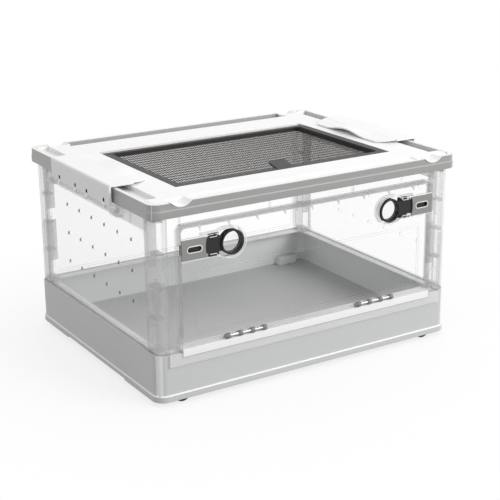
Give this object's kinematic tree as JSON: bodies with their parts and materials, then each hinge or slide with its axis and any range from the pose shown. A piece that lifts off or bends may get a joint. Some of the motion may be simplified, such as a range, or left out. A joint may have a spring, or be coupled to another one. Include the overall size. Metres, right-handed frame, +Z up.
{
  "type": "reptile terrarium",
  "caption": "Clear-walled reptile enclosure on a tub base, with a drop-down front door on sliding ring latches, a lift-off lid with a hinged mesh window, and side clamps.",
  "frame": {"origin": "centre of the footprint, on the surface the wheels stand on", "axes": "+Z up, +X along the long side to the right as seen from the front, the door faces -Y"},
  "size_m": [0.4774, 0.36, 0.2643],
  "materials": {
    "tub": "semi-gloss moulded",
    "clear": "polished clear",
    "sill": "semi-gloss moulded",
    "rim": "semi-gloss moulded",
    "cover": "semi-gloss moulded",
    "lid": "semi-gloss moulded",
    "clamp": "semi-gloss moulded",
    "dark": "satin black",
    "net": "matt woven net",
    "steel": "satin"
  },
  "bodies": {
    "enclosure": {"base_tub": "tub", "door_sill": "sill", "front_frame": "clear", "back_wall": "clear", "left_wall": "clear", "right_wall": "clear", "post_front_left": "clear", "post_front_right": "clear", "post_back_left": "clear", "post_back_right": "clear", "top_rim": "rim", "hinge_bracket_left": "dark", "hinge_bracket_right": "dark", "door_pin_left": "steel", "door_pin_right": "steel", "clamp_rod_left": "clear", "clamp_rod_right": "clear", "axle_front_left": "steel", "axle_front_right": "steel", "axle_back_left": "steel", "axle_back_right": "steel"},
    "door": {"door_panel": "clear", "latch_cover_left": "cover", "latch_cover_right": "cover"},
    "bolt_left": {"latch_bolt_left": "dark", "latch_lens_left": "clear"},
    "bolt_right": {"latch_bolt_right": "dark", "latch_lens_right": "clear"},
    "lid": {"lid_panel": "lid", "window_pin_left": "steel", "window_pin_right": "steel"},
    "window": {"window_frame": "dark", "window_mesh": "net"},
    "clamp_left": {"clamp_left": "clamp"},
    "clamp_right": {"clamp_right": "clamp"},
    "wheel_front_left": {"wheel_front_left": "dark"},
    "wheel_front_right": {"wheel_front_right": "dark"},
    "wheel_back_left": {"wheel_back_left": "dark"},
    "wheel_back_right": {"wheel_back_right": "dark"}
  },
  "joints": [
    {"name": "door_hinge", "type": "hinge", "parent": "enclosure", "child": "door", "pos_m": [0, -0.1762, 0.0745], "axis": [1, 0, 0], "range_deg": [0, 105]},
    {"name": "bolt_slide_left", "type": "slide", "parent": "door", "child": "bolt_left", "axis": [-1, 0, 0], "range_m": [0, 0.008]},
    {"name": "bolt_slide_right", "type": "slide", "parent": "door", "child": "bolt_right", "axis": [1, 0, 0], "range_m": [0, 0.008]},
    {"name": "lid_lift", "type": "slide", "parent": "enclosure", "child": "lid", "axis": [0, 0, 1], "range_m": [0, 0.028]},
    {"name": "window_hinge", "type": "hinge", "parent": "lid", "child": "window", "pos_m": [0, 0.0911, 0.2506], "axis": [-1, 0, 0], "range_deg": [0, 95]},
    {"name": "clamp_hinge_left", "type": "hinge", "parent": "enclosure", "child": "clamp_left", "pos_m": [-0.233, 0, 0.2328], "axis": [0, -1, 0], "range_deg": [0, 170]},
    {"name": "clamp_hinge_right", "type": "hinge", "parent": "enclosure", "child": "clamp_right", "pos_m": [0.233, 0, 0.2328], "axis": [0, 1, 0], "range_deg": [0, 170]},
    {"name": "wheel_spin_front_left", "type": "hinge", "parent": "enclosure", "child": "wheel_front_left", "pos_m": [-0.189, -0.1675, 0.012], "axis": [0, 1, 0], "continuous": true},
    {"name": "wheel_spin_front_right", "type": "hinge", "parent": "enclosure", "child": "wheel_front_right", "pos_m": [0.189, -0.1675, 0.012], "axis": [0, 1, 0], "continuous": true},
    {"name": "wheel_spin_back_left", "type": "hinge", "parent": "enclosure", "child": "wheel_back_left", "pos_m": [-0.189, 0.1675, 0.012], "axis": [0, 1, 0], "continuous": true},
    {"name": "wheel_spin_back_right", "type": "hinge", "parent": "enclosure", "child": "wheel_back_right", "pos_m": [0.189, 0.1675, 0.012], "axis": [0, 1, 0], "continuous": true}
  ],
  "couplings": [
    {"joint": "clamp_hinge_left", "follows": "lid_lift", "rad_per_m": 105.96},
    {"joint": "clamp_hinge_right", "follows": "lid_lift", "rad_per_m": 105.96}
  ]
}
